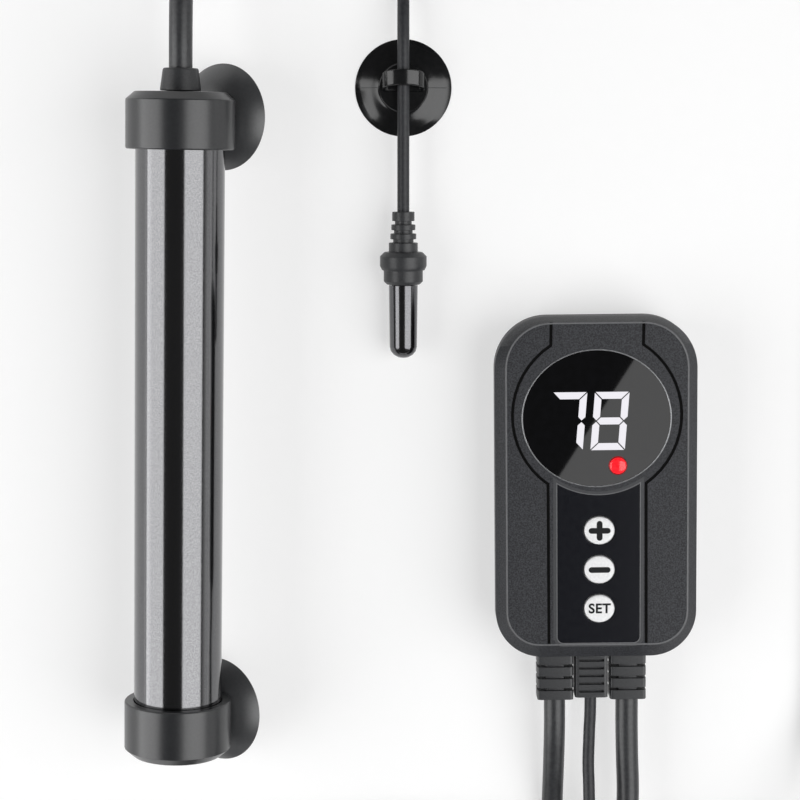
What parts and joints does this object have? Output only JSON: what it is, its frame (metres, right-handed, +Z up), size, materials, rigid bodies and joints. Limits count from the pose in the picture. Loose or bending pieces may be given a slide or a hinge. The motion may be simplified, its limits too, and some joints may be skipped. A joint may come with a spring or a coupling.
{
  "type": "submersible aquarium heater",
  "caption": "Submersible aquarium heater with suction cups, a water probe with a clip-on cup, and a wired controller with display and buttons, laid out with its coiled cords and mains plug.",
  "frame": {"origin": "on the table under the centre of the laid-out units, measured without the cords and plug", "axes": "+Z up from the table, +Y towards the cord end of the heater tube, +X from the heater towards the controller"},
  "size_m": [0.2426, 0.4463, 0.0453],
  "materials": {
    "titanium_black": "glossy black coated titanium",
    "cap_plastic": "satin moulded polypropylene",
    "soft_rubber": "smooth black silicone rubber",
    "cord_rubber": "semi-matt cord jacket and moulded strain reliefs",
    "seal_rubber": "matt seal rubber",
    "ceramic": "unglazed white ceramic",
    "resistance_alloy": "resistance ribbon",
    "bright_metal": "bright plated steel or brass",
    "housing_plastic": "fine-grained charcoal ABS",
    "gloss_black": "polished black acrylic",
    "button_white": "satin white plastic",
    "lamp_red": "tinted red lamp lens",
    "board_green": "solder-masked laminate",
    "relay_blue": "blue moulded case",
    "part_black": "black moulded component",
    "glass_clear": "clear glass tube"
  },
  "bodies": {
    "heater_set": {"heater_tube": "titanium_black", "probe_sheath": "titanium_black", "top_end_cap": "cap_plastic", "bottom_end_cap": "cap_plastic", "heater_cord_gland": "cord_rubber", "probe_strain_relief": "cord_rubber", "mains_cord_gland": "cord_rubber", "sensor_cord_gland": "cord_rubber", "heater_lead_gland": "cord_rubber", "mains_cord": "cord_rubber", "mains_cord_tail": "cord_rubber", "heater_cord": "cord_rubber", "heater_cord_lead": "cord_rubber", "sensor_cord": "cord_rubber", "sensor_cord_lead": "cord_rubber", "mains_cord_coil": "cord_rubber", "heater_cord_coil": "cord_rubber", "sensor_cord_coil": "cord_rubber", "plug_body": "cord_rubber", "top_tube_seal": "seal_rubber", "bottom_tube_seal": "seal_rubber", "cover_gasket": "seal_rubber", "element_core": "ceramic", "insulator_disc_top": "ceramic", "insulator_disc_bottom": "ceramic", "heating_wire": "resistance_alloy", "thermal_cutout": "bright_metal", "lead_terminal_1": "bright_metal", "lead_terminal_2": "bright_metal", "housing_screw_1": "bright_metal", "housing_screw_2": "bright_metal", "housing_screw_3": "bright_metal", "housing_screw_4": "bright_metal", "plug_blade_1": "bright_metal", "plug_blade_2": "bright_metal", "plug_earth_pin": "bright_metal", "front_cover": "housing_plastic", "rear_cover": "housing_plastic", "display_lens": "gloss_black", "keypad_panel": "gloss_black", "indicator_led": "lamp_red", "circuit_board": "board_green", "relay": "relay_blue", "thermistor": "part_black", "display_module": "part_black", "tact_switch_1": "part_black", "tact_switch_2": "part_black", "tact_switch_3": "part_black", "power_transformer": "part_black", "filter_capacitor": "part_black", "terminal_block": "part_black", "board_fuse": "glass_clear"},
    "top_cup": {"top_suction_cup": "soft_rubber"},
    "bottom_cup": {"bottom_suction_cup": "soft_rubber"},
    "probe_cup": {"probe_suction_cup": "soft_rubber", "probe_cord_clip": "soft_rubber"},
    "plus_button": {"button_plus": "button_white"},
    "minus_button": {"button_minus": "button_white"},
    "set_button": {"button_set": "button_white"}
  },
  "joints": [
    {"name": "top_cup_spin", "type": "hinge", "parent": "heater_set", "child": "top_cup", "pos_m": [-0.07389, 0.09559, 0.02772], "axis": [0.5591, -0.0095, -0.829], "continuous": true},
    {"name": "bottom_cup_spin", "type": "hinge", "parent": "heater_set", "child": "bottom_cup", "pos_m": [-0.07726, -0.10339, 0.02772], "axis": [0.5591, -0.0095, -0.829], "continuous": true},
    {"name": "probe_cup_slide", "type": "slide", "parent": "heater_set", "child": "probe_cup", "axis": [0, 1, 0], "range_m": [-0.02, 0.006]},
    {"name": "button_plus_press", "type": "slide", "parent": "heater_set", "child": "plus_button", "axis": [0, 0, -1], "range_m": [0, 0.0008], "stiffness_N_per_m": 600},
    {"name": "button_minus_press", "type": "slide", "parent": "heater_set", "child": "minus_button", "axis": [0, 0, -1], "range_m": [0, 0.0008], "stiffness_N_per_m": 600},
    {"name": "button_set_press", "type": "slide", "parent": "heater_set", "child": "set_button", "axis": [0, 0, -1], "range_m": [0, 0.0008], "stiffness_N_per_m": 600}
  ]
}
